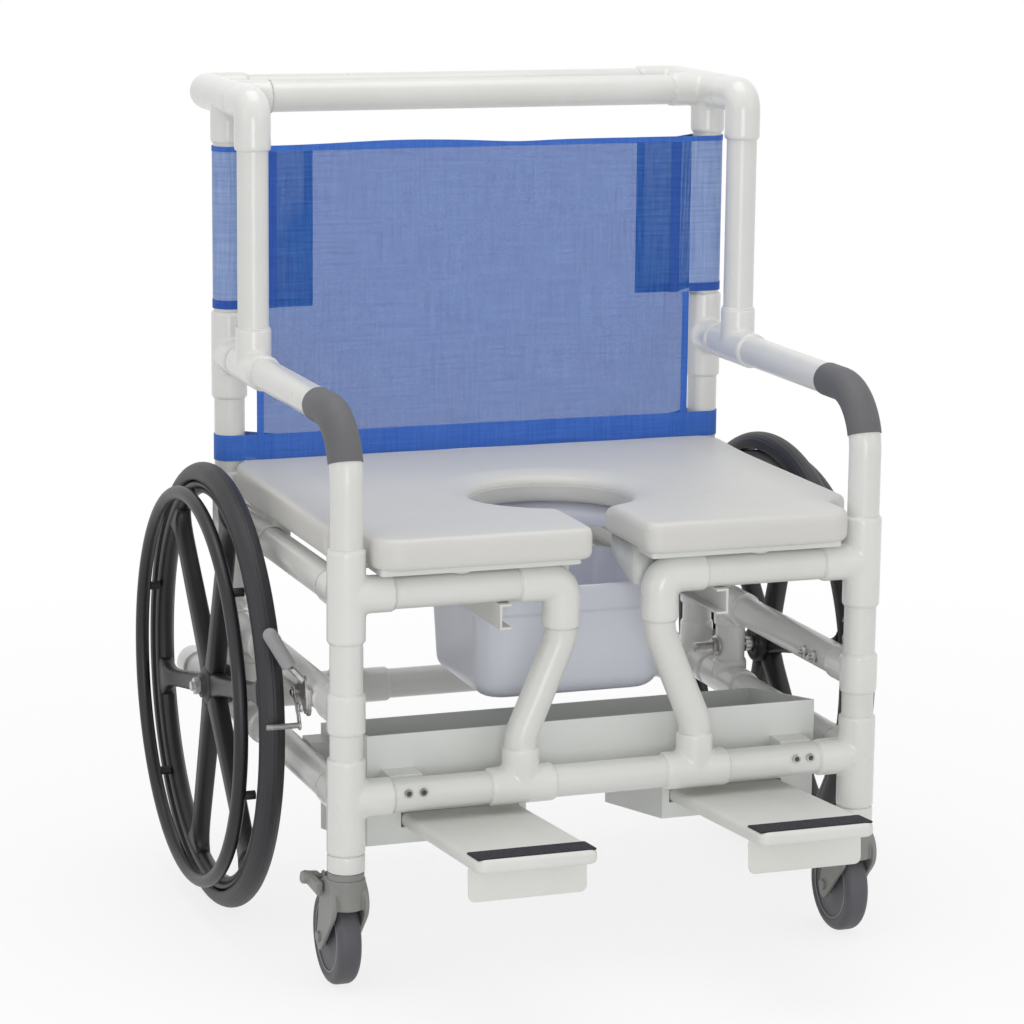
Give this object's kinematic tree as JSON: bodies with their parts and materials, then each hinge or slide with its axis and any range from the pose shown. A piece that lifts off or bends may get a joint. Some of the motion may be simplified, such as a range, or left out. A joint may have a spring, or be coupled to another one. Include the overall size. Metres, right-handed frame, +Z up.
{
  "type": "shower commode chair",
  "caption": "Self-propelled shower and commode chair: pipe frame, padded open-front seat over a sliding pail, mesh back sling, big rear wheels, casters and slide-in footrests.",
  "frame": {"origin": "on the floor under the middle of the chair's outline", "axes": "+Z up, the chair faces -Y, +X to the right hand of someone looking along +Y at its front"},
  "size_m": [0.915, 1.018, 1.1187],
  "materials": {
    "pipe": "white plastic pipe, satin gloss",
    "channel": "white extruded plastic",
    "tray_sheet": "off-white sheet plastic, fine grain",
    "cushion": "pale grey vinyl skin over foam",
    "pail": "pale grey moulded plastic",
    "sling_mesh": "blue open-weave mesh with woven hems",
    "armrest_sleeve": "grey soft sleeve",
    "caster_plastic": "grey moulded plastic",
    "caster_tread": "grey solid tread",
    "tyre": "black ribbed tyre",
    "wheel": "black moulded composite",
    "handrim": "black plastic-coated tube",
    "grip_strip": "dark gritty non-slip tape",
    "lock_grip": "grey dipped plastic sleeve",
    "steel": "stainless steel"
  },
  "bodies": {
    "frame": {"leg_tubes": "pipe", "arm_tubes": "pipe", "rear_uprights": "pipe", "drop_tubes": "pipe", "side_rails": "pipe", "axle_posts": "pipe", "push_handle_tubes": "pipe", "top_crossbar": "pipe", "seat_cross_rails": "pipe", "bent_front_tubes": "pipe", "lower_cross_rails": "pipe", "rear_posts": "pipe", "lower_corner_fittings": "pipe", "seat_corner_fittings": "pipe", "side_tees": "pipe", "upper_fittings": "pipe", "front_access_fittings": "pipe", "rear_post_tees": "pipe", "rail_end_caps": "pipe", "arm_grips": "armrest_sleeve", "caster_sockets": "caster_plastic", "tray": "tray_sheet", "tray_spacers": "pipe", "tray_bolts": "steel", "footrest_guides": "tray_sheet", "pail_channels": "channel", "back_sling": "sling_mesh", "lock_brackets": "steel", "lock_bolts": "steel", "axle_bolts": "steel", "axle_nuts": "steel"},
    "seat": {"seat_cushion": "cushion", "seat_base": "tray_sheet", "seat_clips": "channel", "seat_bumpers": "channel"},
    "pail": {"pail": "pail"},
    "left_footrest": {"left_footrest_board": "tray_sheet", "left_footrest_strip": "grip_strip"},
    "left_rear_wheel": {"left_tyre": "tyre", "left_wheel": "wheel", "left_handrim": "handrim"},
    "left_caster": {"left_caster_fork": "caster_plastic", "left_caster_axle": "steel"},
    "left_caster_roller": {"left_caster_wheel": "caster_tread"},
    "left_caster_brake": {"left_caster_pedal": "caster_plastic"},
    "left_lock_handle": {"left_lock_lever": "steel", "left_lock_grip": "lock_grip"},
    "left_lock_arm": {"left_lock_shoe": "steel"},
    "right_footrest": {"right_footrest_board": "tray_sheet", "right_footrest_strip": "grip_strip"},
    "right_rear_wheel": {"right_tyre": "tyre", "right_wheel": "wheel", "right_handrim": "handrim"},
    "right_caster": {"right_caster_fork": "caster_plastic", "right_caster_axle": "steel"},
    "right_caster_roller": {"right_caster_wheel": "caster_tread"},
    "right_caster_brake": {"right_caster_pedal": "caster_plastic"},
    "right_lock_handle": {"right_lock_lever": "steel", "right_lock_grip": "lock_grip"},
    "right_lock_arm": {"right_lock_shoe": "steel"}
  },
  "joints": [
    {"name": "seat_lift", "type": "slide", "parent": "frame", "child": "seat", "axis": [0, 0, 1], "range_m": [0, 0.1]},
    {"name": "pail_slide", "type": "slide", "parent": "frame", "child": "pail", "axis": [0, 1, 0], "range_m": [0, 0.3]},
    {"name": "left_footrest_slide", "type": "slide", "parent": "frame", "child": "left_footrest", "axis": [0, 0.9972, -0.075], "range_m": [0, 0.17]},
    {"name": "left_wheel_spin", "type": "hinge", "parent": "frame", "child": "left_rear_wheel", "pos_m": [-0.413, 0.165, 0.305], "axis": [1, 0, 0], "continuous": true},
    {"name": "left_caster_swivel", "type": "hinge", "parent": "frame", "child": "left_caster", "pos_m": [-0.355, -0.259, 0.16], "axis": [0, 0, 1], "continuous": true},
    {"name": "left_caster_spin", "type": "hinge", "parent": "left_caster", "child": "left_caster_roller", "pos_m": [-0.355, -0.221, 0.0635], "axis": [1, 0, 0], "continuous": true},
    {"name": "left_caster_brake_press", "type": "hinge", "parent": "left_caster", "child": "left_caster_brake", "pos_m": [-0.355, -0.213, 0.143], "axis": [1, 0, 0], "range_deg": [-12, 0]},
    {"name": "left_lock_push", "type": "hinge", "parent": "frame", "child": "left_lock_handle", "pos_m": [-0.38, -0.168, 0.353], "axis": [1, 0, 0], "range_deg": [0, 35]},
    {"name": "left_lock_shoe_swing", "type": "hinge", "parent": "frame", "child": "left_lock_arm", "pos_m": [-0.384, -0.124, 0.363], "axis": [1, 0, 0], "range_deg": [0, 8.75]},
    {"name": "right_footrest_slide", "type": "slide", "parent": "frame", "child": "right_footrest", "axis": [0, 0.9972, -0.075], "range_m": [0, 0.17]},
    {"name": "right_wheel_spin", "type": "hinge", "parent": "frame", "child": "right_rear_wheel", "pos_m": [0.413, 0.165, 0.305], "axis": [1, 0, 0], "continuous": true},
    {"name": "right_caster_swivel", "type": "hinge", "parent": "frame", "child": "right_caster", "pos_m": [0.355, -0.259, 0.16], "axis": [0, 0, 1], "continuous": true},
    {"name": "right_caster_spin", "type": "hinge", "parent": "right_caster", "child": "right_caster_roller", "pos_m": [0.355, -0.221, 0.0635], "axis": [1, 0, 0], "continuous": true},
    {"name": "right_caster_brake_press", "type": "hinge", "parent": "right_caster", "child": "right_caster_brake", "pos_m": [0.355, -0.213, 0.143], "axis": [1, 0, 0], "range_deg": [-12, 0]},
    {"name": "right_lock_push", "type": "hinge", "parent": "frame", "child": "right_lock_handle", "pos_m": [0.38, -0.168, 0.353], "axis": [1, 0, 0], "range_deg": [0, 35]},
    {"name": "right_lock_shoe_swing", "type": "hinge", "parent": "frame", "child": "right_lock_arm", "pos_m": [0.384, -0.124, 0.363], "axis": [1, 0, 0], "range_deg": [0, 8.75]}
  ],
  "couplings": [
    {"joint": "left_lock_shoe_swing", "follows": "left_lock_push", "ratio": 0.25},
    {"joint": "right_lock_shoe_swing", "follows": "right_lock_push", "ratio": 0.25}
  ]
}
